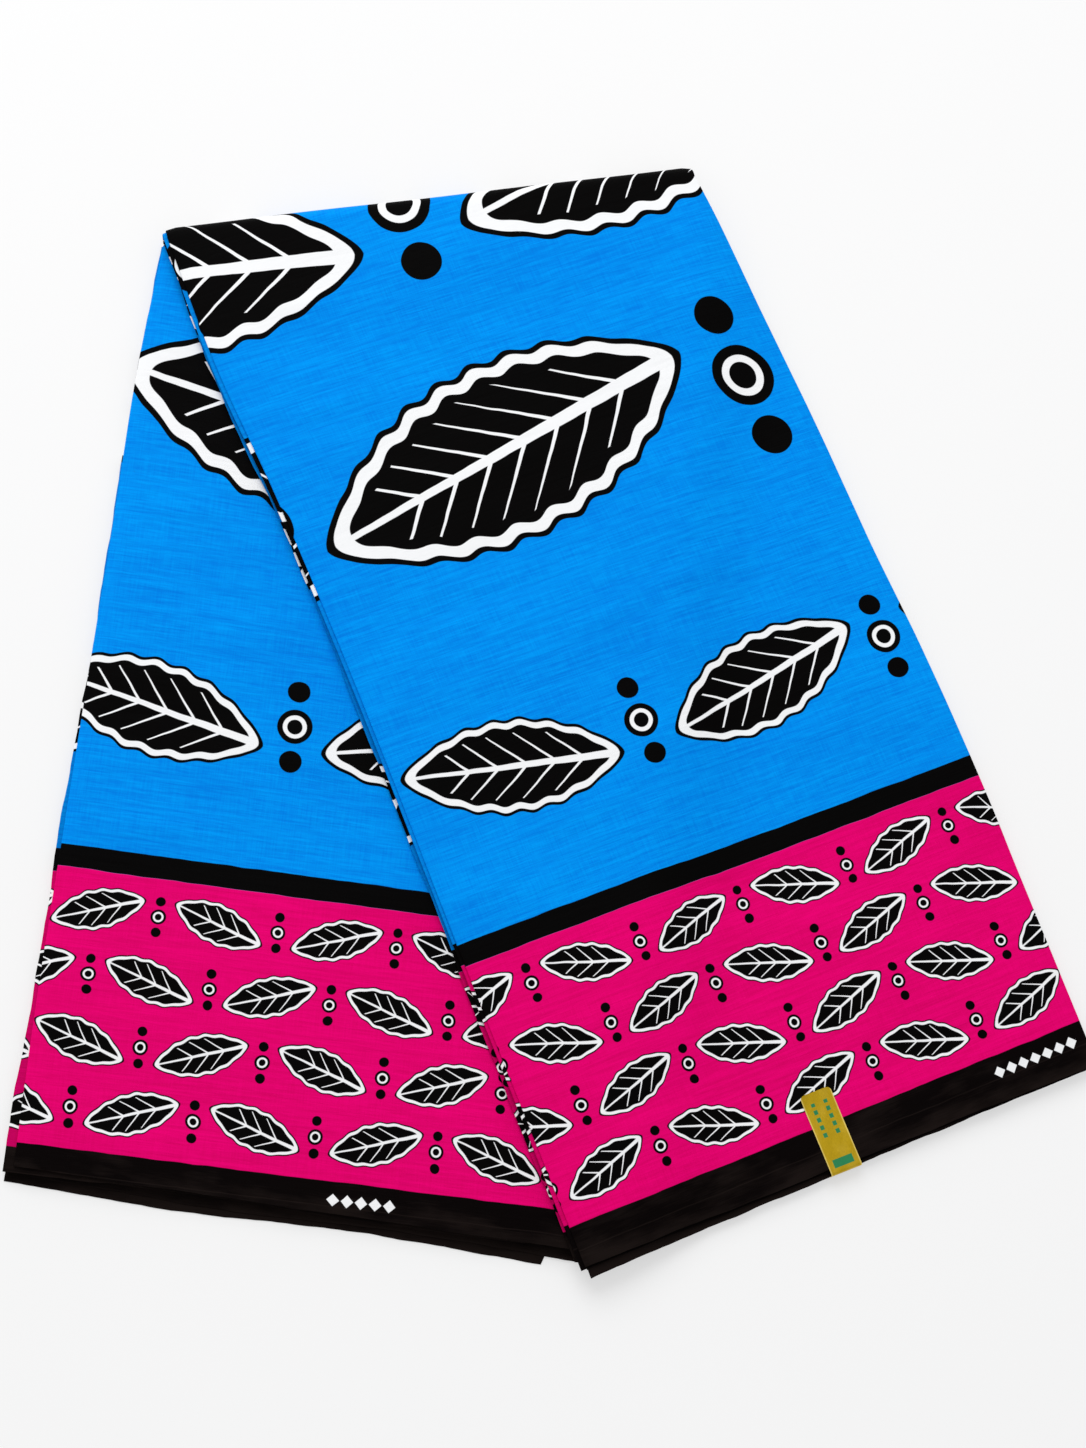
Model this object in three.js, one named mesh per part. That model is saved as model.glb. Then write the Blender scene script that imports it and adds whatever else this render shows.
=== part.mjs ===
// A length of wax print cotton, folded as it is sold and laid down on a table.
//
// The cloth is 1.17 m wide from selvedge to selvedge. It is pleated lengthwise into a packet
// about 0.3 m wide and 18 layers thick. The packet is then doubled over on a slanted line near
// the middle of the cloth's width, so it makes two legs, like an upside-down V. The front leg
// lies on the back leg near the fold, and slopes down to the table beside it lower down.
//
// Millimetres, +Z up. X runs from left to right, Y from the hems towards the fold, and the
// origin is on the table under the middle of the whole.

import * as THREE from "three";

// ---------------------------------------------------------------------------------------
// Driving sizes
// ---------------------------------------------------------------------------------------

const LEG_THICKNESS = 8; // 18 layers of cotton and the air between them
const SHEET = 1; // a single sheet that shows, as a wall
const GAP = 0.3; // between two pieces that touch
const SLOPE_WIDTH = 55; // over which the front leg comes down from the back leg to the table
const SLOPE_START = 3; // how far past the back leg's edge the slope begins
const EDGE_ROLL = 0.14; // share of the thickness that is lost at a folded side edge
const ROLL_SHARE = 0.02; // share of the width over which the side edge rounds off
const ROLL_WIDTH = 6; // that share of the width, as a length
const NOSE = 0.45; // how far the rounding of a bundle's folded edge reaches in
const NOSE_HEIGHT = 0.35; // height of that rounding
const GROOVE_DEPTH = 2; // how far the groove between two bundles reaches in from the outline

// Heights are counted outwards from the middle of the fold, where the two legs meet.
const MEETING = GAP / 2;
const FOLD_RADIUS = MEETING + LEG_THICKNESS;
const TOP_SHEET = { inner: FOLD_RADIUS - SHEET, outer: FOLD_RADIUS };
const SECOND_SHEET = { inner: TOP_SHEET.inner - GAP - SHEET, outer: TOP_SHEET.inner - GAP };
const FRONT_CORE = { inner: MEETING, outer: SECOND_SHEET.inner - GAP };
const BACK_SHEET = { inner: MEETING, outer: MEETING + SHEET };
const BACK_CORE = { inner: BACK_SHEET.outer + GAP, outer: FOLD_RADIUS };

// Number of cells across a leg, along it and round the fold.
const FRONT_GRID = { across: 16, along: 14, turn: 6 };
const BACK_GRID = { across: 12, along: 12 };

// ---------------------------------------------------------------------------------------
// Outlines, a row for each section from the fold to the hem
// ---------------------------------------------------------------------------------------

const FRONT_SECTIONS = [
  { leftX: -226.2, leftY: 249.5, rightX: 73, rightY: 309.5 },
  { leftX: -196, leftY: 172, rightX: 107, rightY: 239 },
  { leftX: -160, leftY: 95, rightX: 139, rightY: 168 },
  { leftX: -125, leftY: 14, rightX: 169, rightY: 95 },
  { leftX: -92, leftY: -67, rightX: 201, rightY: 22 },
  { leftX: -60, leftY: -148, rightX: 230, rightY: -52 },
  { leftX: -27, leftY: -229, rightX: 257, rightY: -127 },
  { leftX: 6, leftY: -310, rightX: 283.5, rightY: -200.5 },
];

const BACK_SECTIONS = [
  { leftX: -228.7, leftY: 249, rightX: 73, rightY: 309.5 },
  { leftX: -240, leftY: 168, rightX: 65, rightY: 205 },
  { leftX: -247.9, leftY: 85, rightX: 55, rightY: 104 },
  { leftX: -256.5, leftY: 0, rightX: 45, rightY: 2 },
  { leftX: -265.2, leftY: -88, rightX: 36, rightY: -99 },
  { leftX: -273.8, leftY: -176, rightX: 27, rightY: -200 },
  { leftX: -280.6, leftY: -263, rightX: 17, rightY: -303 },
];

// How far the second sheet's folded edge shows past the top sheet on the left, a row for
// each section of the front leg.
const SECOND_SHEET_PEEK = [3.4, 4, 3.6, 3.2, 3, 2.5, 2.8, 3.6];
const SECOND_SHEET_RIGHT = -0.8;
const SECOND_SHEET_HEM = 1;

// The hidden layers are bundles of folds. A row gives a bundle's height, counted outwards
// from the middle of the fold, and how far it shows past the outline on each side. The left
// column is a pair, at the fold and at the hem. The hem column is a list from the left edge
// to the right edge.
const FRONT_BUNDLES = [
  { from: FRONT_CORE.inner, to: 1.8, left: [0.5, 0.5], right: -1.5, hem: [-1, -4, -2, -4] },
  { from: 2.1, to: 3.6, left: [2.5, 2.5], right: 0.4, hem: [-4, -1.5, -3, -1] },
  { from: 3.9, to: FRONT_CORE.outer, left: [-0.8, -0.8], right: -1, hem: [6.3, 3.6, 2, 0] },
];
const BACK_BUNDLES = [
  { from: BACK_CORE.inner, to: 3.5, left: [0.3, 5], right: -0.5, hem: [2.6, -1.5, -1, -1] },
  { from: 3.8, to: 5.8, left: [-1.5, 2.5], right: 0.6, hem: [-1, -3, -1.5, -3] },
  { from: 6.1, to: BACK_CORE.outer, left: [-0.8, 4.8], right: -1.5, hem: [7.5, 9.2, 6.4, 8.6] },
];
// How far the folds on the left have gone from the first value of their pair to the second,
// in even steps from the fold to the hem. The back leg's folds fan out near the hem.
const FRONT_SPREAD = [0, 1];
const BACK_SPREAD = [0, 0, 0.03, 0.1, 0.37, 0.45, 1];
// The lowest bundle's hem ends in a corner of its own, short of the right edge.
const FLAP_END = 0.898;
const FLAP_CORNER = 0.006;
const FLAP_TUCK = -3;

// The foil label that is stuck over the hem, in the front leg's own directions.
const LABEL = { length: 40.5, width: 17.5, thickness: 0.5, left: 0.466, below: 4, clear: 3.4 };

const COLOURS = {
  cloth: new THREE.Color("#0a86e8"),
  inner: new THREE.Color("#0a78d4"),
  layers: new THREE.Color("#d6066a"),
  foil: new THREE.Color("#b39318"),
};

// ---------------------------------------------------------------------------------------
// Helpers
// ---------------------------------------------------------------------------------------

const smooth = (t) => {
  const clamped = THREE.MathUtils.clamp(t, 0, 1);
  return clamped * clamped * (3 - 2 * clamped);
};

// Straight steps between the values of a list, for t from 0 to 1.
function along(values, t) {
  const place = THREE.MathUtils.clamp(t, 0, 1) * (values.length - 1);
  const row = Math.min(Math.floor(place), values.length - 2);
  return THREE.MathUtils.lerp(values[row], values[row + 1], place - row);
}

function edges(sections) {
  const left = sections.map((row) => new THREE.Vector3(row.leftX, row.leftY, 0));
  const right = sections.map((row) => new THREE.Vector3(row.rightX, row.rightY, 0));
  return {
    left: new THREE.CatmullRomCurve3(left),
    right: new THREE.CatmullRomCurve3(right),
  };
}

// Shares of the width at which points stand: one cell for each rounded side edge, and even
// cells between them, with any extra shares that are asked for.
function widthShares(cells, extra = []) {
  const shares = [0, 1, ...extra];
  const inner = cells - 2;
  for (let i = 0; i <= inner; i += 1) {
    shares.push(ROLL_SHARE + ((1 - 2 * ROLL_SHARE) * i) / inner);
  }
  return shares.sort((a, b) => a - b);
}

// How far the rounding has gone: 0 from its start inwards, 1 at the side edge, and more
// where a piece shows past the edge, so that all the layers there follow one slope.
function rounding(u, side) {
  const share = Math.max(0, 1 - Math.min(u, 1 - u) / ROLL_SHARE);
  return 1 - EDGE_ROLL * (share + side / ROLL_WIDTH);
}

// ---------------------------------------------------------------------------------------
// The two legs
// ---------------------------------------------------------------------------------------

const frontEdges = edges(FRONT_SECTIONS);
const backEdges = edges(BACK_SECTIONS);

const foldLeft = frontEdges.left.getPoint(0);
const foldRight = frontEdges.right.getPoint(0);
const foldAcross = foldRight.clone().sub(foldLeft).normalize();
const foldOutward = new THREE.Vector3(-foldAcross.y, foldAcross.x, 0);

// How far a place is to the right of the back leg's hidden right edge.
function pastBackLeg(place) {
  const start = backEdges.right.getPoint(0);
  const end = backEdges.right.getPoint(1);
  const down = end.clone().sub(start).normalize();
  const offset = place.clone().sub(start);
  return down.x * offset.y - down.y * offset.x;
}

// The underside of the front leg: on the back leg, then sloping down to the table.
function frontUnderside(place) {
  const share = (pastBackLeg(place) - SLOPE_START) / SLOPE_WIDTH;
  return (FOLD_RADIUS + MEETING) * (1 - smooth(share));
}

// Where a section of a leg crosses it: its two ends and the direction from left to right.
function section(leg, v) {
  const left = leg.left.getPoint(v);
  const right = leg.right.getPoint(v);
  const across = right.clone().sub(left).normalize();
  const down = leg.left.getTangent(v).add(leg.right.getTangent(v)).normalize();
  return { left, right, across, down };
}

// A place in plan, u of the way across section v, moved sideways and past the hem.
function planPoint(leg, u, v, side, hem) {
  const { left, right, across, down } = section(leg, v);
  const place = left.clone().lerp(right, u);
  place.addScaledVector(across, u === 0 ? -side : u === 1 ? side : 0);
  return place.addScaledVector(down, hem);
}

// A point of the front leg. A station is an angle round the fold, from the underside up to
// the top, or a share of the leg's length.
function frontPoint(u, station, height, side, hem) {
  const rolled = MEETING + (height - MEETING) * rounding(u, side);
  if (station.angle !== undefined) {
    const place = planPoint(frontEdges, u, 0, side, 0);
    place.addScaledVector(foldOutward, rolled * Math.sin(station.angle));
    place.z = FOLD_RADIUS + rolled * Math.cos(station.angle);
    return place;
  }
  const place = planPoint(frontEdges, u, station.share, side, hem);
  place.z = frontUnderside(place) + rolled - MEETING;
  return place;
}

// A point of the back leg, which rests on the table. It starts just clear of the fold's end.
function backPoint(u, station, height, side, hem) {
  const place = planPoint(backEdges, u, station.share, side, hem);
  if (station.share === 0) place.addScaledVector(foldOutward, -GAP);
  place.z = (FOLD_RADIUS - height) * rounding(u, side);
  return place;
}

const frontStations = [];
for (let i = 0; i < FRONT_GRID.turn; i += 1) {
  frontStations.push({ angle: Math.PI * (1 - i / FRONT_GRID.turn) });
}
for (let i = 0; i <= FRONT_GRID.along; i += 1) {
  frontStations.push({ share: i / FRONT_GRID.along });
}

const backStations = [];
for (let i = 0; i <= BACK_GRID.along; i += 1) {
  backStations.push({ share: i / BACK_GRID.along });
}

const FRONT_LEG = {
  point: frontPoint,
  stations: frontStations,
  shares: widthShares(FRONT_GRID.across),
};
const BACK_LEG = {
  point: backPoint,
  stations: backStations,
  shares: widthShares(BACK_GRID.across, [FLAP_END, FLAP_END + FLAP_CORNER]),
};

// ---------------------------------------------------------------------------------------
// Closed solids
// ---------------------------------------------------------------------------------------

// A closed solid from a lower and an upper grid of points and the profile of the rim that
// joins them. Both grids have the same cells, cut the same way, so that a piece lies evenly
// on the one below. A rim profile goes from the lower point to the upper one.
function closedSolid(rows, columns, lower, upper, rim) {
  const positions = [];
  const index = [];
  // Adds a point and gives its number.
  const add = (p) => positions.push(p.x, p.y, p.z) / 3 - 1;
  const cell = (r, c) => r * columns + c;
  const lowerIds = lower.map(add);
  const upperIds = upper.map(add);
  for (let r = 0; r < rows - 1; r += 1) {
    for (let c = 0; c < columns - 1; c += 1) {
      const corners = [cell(r, c), cell(r + 1, c), cell(r + 1, c + 1), cell(r, c + 1)];
      const [a, b, d, e] = corners.map((id) => upperIds[id]);
      index.push(a, b, e, b, d, e);
      const [f, g, h, k] = corners.map((id) => lowerIds[id]);
      index.push(f, k, g, g, k, h);
    }
  }
  const loop = [];
  for (let r = 0; r < rows; r += 1) loop.push([r, 0]);
  for (let c = 1; c < columns; c += 1) loop.push([rows - 1, c]);
  for (let r = rows - 2; r >= 0; r -= 1) loop.push([r, columns - 1]);
  for (let c = columns - 2; c > 0; c -= 1) loop.push([0, c]);
  const profiles = loop.map(([r, c]) => [
    lowerIds[cell(r, c)],
    ...rim(r, c).map(add),
    upperIds[cell(r, c)],
  ]);
  profiles.forEach((profile, i) => {
    const next = profiles[(i + 1) % profiles.length];
    for (let j = 0; j < profile.length - 1; j += 1) {
      index.push(profile[j], next[j], next[j + 1], profile[j], next[j + 1], profile[j + 1]);
    }
  });
  const geometry = new THREE.BufferGeometry();
  geometry.setAttribute("position", new THREE.Float32BufferAttribute(positions, 3));
  geometry.setIndex(index);
  return geometry;
}

// Turns a solid's faces round when its grid runs the other way.
function facingOut(geometry) {
  const position = geometry.getAttribute("position");
  const index = geometry.getIndex();
  const [a, b, c] = [new THREE.Vector3(), new THREE.Vector3(), new THREE.Vector3()];
  let volume = 0;
  for (let i = 0; i < index.count; i += 3) {
    a.fromBufferAttribute(position, index.getX(i));
    b.fromBufferAttribute(position, index.getX(i + 1));
    c.fromBufferAttribute(position, index.getX(i + 2));
    volume += a.dot(b.cross(c));
  }
  if (volume < 0) {
    for (let i = 0; i < index.count; i += 3) {
      const first = index.getX(i);
      index.setX(i, index.getX(i + 1));
      index.setX(i + 1, first);
    }
  }
  geometry.computeVertexNormals();
  return geometry;
}

// A single sheet of a leg, between two heights, with its own overhang on each side.
function sheetSolid(leg, sheet, overhang) {
  const last = leg.stations.length - 1;
  const grid = (height) =>
    leg.stations.flatMap((station, r) =>
      leg.shares.map((u) => {
        const side = u === 0 ? overhang.left(station) : u === 1 ? overhang.right : 0;
        return leg.point(u, station, height, side, r === last ? overhang.hem : 0);
      }),
    );
  const flatRim = () => [];
  return facingOut(
    closedSolid(
      leg.stations.length,
      leg.shares.length,
      grid(sheet.inner),
      grid(sheet.outer),
      flatRim,
    ),
  );
}

// The hidden layers of a leg: one solid whose rim shows each bundle's folded edge as a
// rounded nose, with a groove between two bundles. The end at the fold is cut flat.
function layersSolid(leg, bundles, spread, hemOf) {
  const rows = leg.stations.length;
  const columns = leg.shares.length;
  const lastRow = rows - 1;
  const place = (r, c, height, left, right, hem) => {
    const u = leg.shares[c];
    const side = u === 0 ? left : u === 1 ? right : 0;
    return leg.point(u, leg.stations[r], height, side, r === lastRow ? hem : 0);
  };
  const grid = (height) =>
    leg.stations.flatMap((_, r) =>
      leg.shares.map((_, c) =>
        place(r, c, height, -GROOVE_DEPTH, -GROOVE_DEPTH, -GROOVE_DEPTH),
      ),
    );
  const rim = (r, c) => {
    const points = [];
    const spreadHere = along(spread, leg.stations[r].share ?? 0);
    bundles.forEach((bundle, i) => {
      const left = along(bundle.left, spreadHere);
      const hem = hemOf(bundle, i, leg.shares[c]);
      const nose = (height, back) =>
        place(r, c, height, left - back, bundle.right - back, hem - back);
      const groove = (height) =>
        place(r, c, height, -GROOVE_DEPTH, -GROOVE_DEPTH, -GROOVE_DEPTH);
      if (i > 0) points.push(groove(bundle.from));
      points.push(nose(bundle.from, NOSE));
      points.push(nose(bundle.from + NOSE_HEIGHT, 0));
      points.push(nose(bundle.to - NOSE_HEIGHT, 0));
      points.push(nose(bundle.to, NOSE));
      if (i < bundles.length - 1) points.push(groove(bundle.to));
    });
    return points;
  };
  const inner = bundles[0].from;
  const outer = bundles[bundles.length - 1].to;
  return facingOut(closedSolid(rows, columns, grid(inner), grid(outer), rim));
}

const evenHem = (bundle, _, u) => along(bundle.hem, u);

// The back leg's lowest bundle stops at its own corner and tucks in beyond it.
function flapHem(bundle, i, u) {
  const lowest = i === BACK_BUNDLES.length - 1;
  if (!lowest) return along(bundle.hem, u);
  return u <= FLAP_END ? along(bundle.hem, u / FLAP_END) : FLAP_TUCK;
}

// ---------------------------------------------------------------------------------------
// The label
// ---------------------------------------------------------------------------------------

// A foil strip stuck on the top sheet and turned down over the hem.
function labelSolid() {
  const hem = FRONT_SECTIONS.at(-1);
  const hemLength = Math.hypot(hem.rightX - hem.leftX, hem.rightY - hem.leftY);
  const columns = 4;
  const lift = TOP_SHEET.outer + GAP;
  // The strip's route: distance past the hem, and height above the middle of the fold.
  const route = [
    { past: -LABEL.length, height: lift },
    { past: -LABEL.length / 2, height: lift },
    { past: LABEL.clear - 2.6, height: lift },
    { past: LABEL.clear - 0.7, height: lift - 0.5 },
    { past: LABEL.clear, height: lift - 1.6 },
    { past: LABEL.clear, height: lift - LABEL.below },
  ];
  const outward = [
    { past: 0, height: 1 },
    { past: 0, height: 1 },
    { past: 0.2, height: 0.98 },
    { past: 0.6, height: 0.8 },
    { past: 0.95, height: 0.3 },
    { past: 1, height: 0 },
  ];
  const grid = (depth) =>
    route.flatMap((step, i) => {
      const points = [];
      for (let c = 0; c <= columns; c += 1) {
        const u = LABEL.left + ((LABEL.width / hemLength) * c) / columns;
        const past = step.past + outward[i].past * depth;
        const height = step.height + outward[i].height * depth;
        points.push(frontPoint(u, { share: 1 }, height, 0, past));
      }
      return points;
    });
  const flatRim = () => [];
  return facingOut(
    closedSolid(route.length, columns + 1, grid(0), grid(LABEL.thickness), flatRim),
  );
}

// ---------------------------------------------------------------------------------------
// The part
// ---------------------------------------------------------------------------------------

function piece(name, geometry, color, roughness, metalness = 0) {
  const material = new THREE.MeshStandardMaterial({ color, roughness, metalness });
  const mesh = new THREE.Mesh(geometry, material);
  mesh.name = name;
  return mesh;
}

const clothRoughness = 0.7;
const secondPeek = (station) => along(SECOND_SHEET_PEEK, station.share ?? 0);
const level = () => 0;

const part = new THREE.Group();
part.add(
  piece(
    "back_layers",
    layersSolid(BACK_LEG, BACK_BUNDLES, BACK_SPREAD, flapHem),
    COLOURS.layers,
    clothRoughness,
  ),
  piece(
    "back_top_sheet",
    sheetSolid(BACK_LEG, BACK_SHEET, { left: level, right: 0, hem: 0 }),
    COLOURS.cloth,
    clothRoughness,
  ),
  piece(
    "front_layers",
    layersSolid(FRONT_LEG, FRONT_BUNDLES, FRONT_SPREAD, evenHem),
    COLOURS.layers,
    clothRoughness,
  ),
  piece(
    "front_second_sheet",
    sheetSolid(FRONT_LEG, SECOND_SHEET, {
      left: secondPeek,
      right: SECOND_SHEET_RIGHT,
      hem: SECOND_SHEET_HEM,
    }),
    COLOURS.inner,
    clothRoughness,
  ),
  piece(
    "front_top_sheet",
    sheetSolid(FRONT_LEG, TOP_SHEET, { left: level, right: 0, hem: 0 }),
    COLOURS.cloth,
    clothRoughness,
  ),
  piece("hem_label", labelSolid(), COLOURS.foil, 0.35, 0.6),
);

// The origin is under the middle of the whole.
const middle = new THREE.Box3().setFromObject(part).getCenter(new THREE.Vector3());
part.position.set(-middle.x, -middle.y, 0);

export default part;
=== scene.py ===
# %% [markdown]
# # A folded length of wax print cotton
#
# The cloth is 1.17 m wide from selvedge to selvedge. It is pleated lengthwise into a packet
# about 0.3 m wide and 18 layers thick, and the packet is doubled over on a slanted line, so
# that it lies as two legs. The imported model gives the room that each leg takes. Here every
# sheet that shows is made as thin cloth inside that room, then it gets its print.

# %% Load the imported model
import math

import bpy
import numpy as np
from mathutils import Matrix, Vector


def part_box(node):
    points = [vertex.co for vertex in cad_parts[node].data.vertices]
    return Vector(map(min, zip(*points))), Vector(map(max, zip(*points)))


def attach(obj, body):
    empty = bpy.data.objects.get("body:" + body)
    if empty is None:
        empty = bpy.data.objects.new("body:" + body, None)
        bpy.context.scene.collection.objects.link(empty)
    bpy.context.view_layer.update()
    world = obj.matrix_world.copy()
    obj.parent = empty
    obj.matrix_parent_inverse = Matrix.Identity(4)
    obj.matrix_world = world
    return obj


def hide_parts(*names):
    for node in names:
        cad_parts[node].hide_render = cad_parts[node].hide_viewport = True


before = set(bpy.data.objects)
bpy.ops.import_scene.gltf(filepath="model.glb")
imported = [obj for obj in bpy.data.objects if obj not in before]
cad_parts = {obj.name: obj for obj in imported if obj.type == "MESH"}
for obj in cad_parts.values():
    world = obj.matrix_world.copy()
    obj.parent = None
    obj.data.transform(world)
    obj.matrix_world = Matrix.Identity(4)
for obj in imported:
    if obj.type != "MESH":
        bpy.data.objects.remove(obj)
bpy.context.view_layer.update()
print("packed nodes:", sorted(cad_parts))

# %% [markdown]
# ## Sizes
#
# Lengths in the tables are millimetres, because cloth is measured so, and MM turns them into
# Blender's metres. The two tables hold the edges of the legs, a row for each section from
# the fold down to the hem. Heights are counted outwards from the middle of the fold, where
# the two legs meet, so the same number means the same layer all the way round.

# %% Sizes of the packet
MM = 0.001
FOLD_RADIUS = 8.15
MEETING = 0.15  # from the middle of the fold out to the nearest layer
UNDER_FRONT_LEG = FOLD_RADIUS + MEETING
SLOPE_START = 3  # past the back leg's right edge, where the front leg starts to come down
SLOPE_WIDTH = 55
EDGE_ROLL = 0.14  # share of its height that a side edge loses
ROLL_WIDTH = 6
FOLD_CLEARANCE = 0.3
CLEAR_ROWS = 1 / 40  # share of the back leg over which it draws back from the fold
ON_TABLE = 0.02
CLOTH_THICKNESS = 0.4
LEG_LENGTH = 560
SMOOTH_UP_TO = math.radians(50)

FRONT_SECTIONS = [
    # left x, left y, right x, right y
    (-226.2, 249.5, 73, 309.5),
    (-196, 172, 107, 239),
    (-160, 95, 139, 168),
    (-125, 14, 169, 95),
    (-92, -67, 201, 22),
    (-60, -148, 230, -52),
    (-27, -229, 257, -127),
    (6, -310, 283.5, -200.5),
]
BACK_SECTIONS = [
    # left x, left y, right x, right y
    (-228.7, 249, 73, 309.5),
    (-240, 168, 65, 205),
    (-247.9, 85, 55, 104),
    (-256.5, 0, 45, 2),
    (-265.2, -88, 36, -99),
    (-273.8, -176, 27, -200),
    (-280.6, -263, 17, -303),
]

# The tables count from a corner of the table. The frame puts the origin under the middle.
low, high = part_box("front_top_sheet")
SHIFT = np.array([high[0] / MM - FRONT_SECTIONS[-1][2], low[1] / MM - FRONT_SECTIONS[-1][1]])
print("shift from the tables to the frame, mm:", np.round(SHIFT, 3))

# %% [markdown]
# ## The way a leg lies
#
# A place on a leg is given by u, the share of the way across from left to right, and v, the
# share of the way from the fold to the hem. A smooth curve runs through each column of the
# tables, and a straight line joins the two edges. All these helpers work on whole arrays of
# points at once, which keeps sheets of thirty thousand points quick to make.

# %% Smooth edges through the sections
def smooth_step(share):
    share = np.clip(share, 0, 1)
    return share * share * (3 - 2 * share)


def curve_through(points, v):
    """Places at shares v of a smooth curve through the points, each an even share apart."""
    points = np.array(points, float)
    ends = [2 * points[0] - points[1], *points, 2 * points[-1] - points[-2]]
    ends = np.array(ends)
    place = np.clip(v, 0, 1) * (len(points) - 1)
    row = np.minimum(np.floor(place), len(points) - 2).astype(int)
    f = (place - row)[..., None]
    a, b, c, d = (ends[row + i] for i in range(4))
    return b + f / 2 * (c - a + f * (2 * a - 5 * b + 4 * c - d + f * (3 * (b - c) + d - a)))


def unit(vectors):
    return vectors / np.linalg.norm(vectors, axis=-1, keepdims=True)


def along(values, share):
    """Straight steps between the values of a short list, for shares from 0 to 1."""
    return np.interp(share, np.linspace(0, 1, len(values)), values)


FOLD_LEFT, FOLD_RIGHT = np.array(FRONT_SECTIONS[0]).reshape(2, 2).astype(float)
FOLD_ACROSS = unit(FOLD_RIGHT - FOLD_LEFT)
FOLD_OUTWARD = np.array([-FOLD_ACROSS[1], FOLD_ACROSS[0]])


# %% How far a place is to the right of a leg's edge
BACK_RIGHT_EDGE = (BACK_SECTIONS[0][2:], BACK_SECTIONS[-1][2:])
FRONT_LEFT_EDGE = (FRONT_SECTIONS[0][:2], FRONT_SECTIONS[-1][:2])


def past_edge(place, edge):
    """Distance to the right of a straight edge, which runs from the fold to the hem."""
    start, end = np.array(edge, float)
    down = unit(end - start)
    offset = place - start
    return down[0] * offset[..., 1] - down[1] * offset[..., 0]


# %% [markdown]
# ## Places on a leg, in cloth and in space
#
# A piece of cloth has its own ruler: s across the packet and t from the hem, both measured
# on the cloth. The print follows this ruler, so that it turns with the sheet round the fold.
# The place in space comes from the same numbers, so print and form can't drift apart.

# %% Widths, lengths and places across a leg
def side_lengths(sections):
    """Lengths from the hem up to each section, along the left and the right edge."""
    table = np.array(sections, float)
    steps = np.diff(table, axis=0)
    left = np.hypot(steps[:, 0], steps[:, 1])
    right = np.hypot(steps[:, 2], steps[:, 3])
    return [np.append(np.cumsum(side[::-1])[::-1], 0) for side in (left, right)]


def edge_lines(sections, v):
    """The left edge, the direction across, the direction to the hem, and the width at v."""
    table = np.array(sections, float)
    left = curve_through(table[:, :2], v)
    right = curve_through(table[:, 2:], v)
    width = np.linalg.norm(right - left, axis=-1)
    across = unit(right - left)
    down = np.stack([across[..., 1], -across[..., 0]], axis=-1)
    return left, across, down, width


# How far the print slants from the cut hem, from the left edge to the right edge.
FRONT_PRINT_SLANT = (0, -3.7)
BACK_PRINT_SLANT = (9, 1.6)


def cloth_length(sections, slant, share, v, past_hem):
    """The distance t from the hem, as the print measures it."""
    left, right = side_lengths(sections)
    rows = np.linspace(0, 1, len(left))
    length = (1 - share) * np.interp(v, rows, left) + share * np.interp(v, rows, right)
    return length - past_hem + slant[0] + (slant[1] - slant[0]) * share


# %% [markdown]
# ## Creases
#
# Pressed cotton is never quite flat. The creases are listed one by one, each from one point of
# the cloth to another in millimetres, with its own width and height, and a slow swell lies
# under them. A crease is a soft bell across its line and dies away at both ends. Troughs go
# down with all the layers below them, while ridges lift only the top sheet.

# %% Crease tables
FRONT_CREASES = [
    # s, t at one end, s, t at the other end, width, height
    (8, 24, 150, 31, 4.5, 0.35),
    (160, 38, 290, 34, 5.0, -0.4),
    (30, 62, 120, 70, 6.0, -0.35),
    (196, 78, 268, 96, 4.0, 0.3),
    (12, 118, 96, 112, 5.0, 0.35),
    (70, 150, 214, 158, 7.0, -0.45),
    (226, 182, 292, 168, 5.0, 0.4),
    (18, 214, 132, 222, 6.0, 0.4),
    (150, 236, 262, 228, 8.0, -0.5),
    (40, 282, 84, 296, 4.0, -0.35),
    (110, 318, 284, 330, 7.0, 0.45),
    (14, 352, 128, 346, 6.0, -0.45),
    (176, 378, 236, 392, 5.0, 0.35),
    (60, 420, 196, 414, 8.0, 0.5),
    (220, 446, 290, 434, 5.0, -0.4),
    (16, 478, 92, 486, 5.0, 0.4),
    (120, 508, 230, 500, 7.0, -0.4),
    (30, 548, 84, 540, 5.0, 0.45),
    (176, 536, 244, 530, 6.0, 0.35),
]
BACK_CREASES = [
    # s, t at one end, s, t at the other end, width, height
    (6, 24, 96, 30, 4.0, 0.3),
    (14, 44, 128, 50, 6.0, -0.4),
    (70, 12, 74, 44, 2.2, 0.5),
    (184, 8, 196, 36, 2.5, 0.45),
    (150, 70, 262, 58, 6.0, 0.4),
    (10, 96, 84, 104, 5.0, -0.35),
    (56, 138, 226, 128, 7.0, 0.4),
    (8, 186, 92, 196, 6.0, 0.45),
    (60, 232, 176, 224, 7.0, -0.45),
    (10, 270, 110, 282, 5.0, 0.4),
    (30, 322, 148, 314, 7.0, -0.45),
    (6, 362, 64, 372, 5.0, 0.4),
    (24, 412, 108, 402, 6.0, 0.4),
    (8, 452, 70, 462, 5.0, -0.35),
    (12, 500, 60, 494, 6.0, 0.35),
]
SWELLS = [
    # millimetres from crest to crest along s and along t, phase, height
    (310, 146, 0.4, 0.22),
    (-171, 93, 2.1, 0.14),
    (96, 61, 4.4, 0.09),
    (-540, 38, 1.3, 0.06),
]
CREASE_FADE = 0.3  # share of a crease's length over which each end dies away


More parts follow.
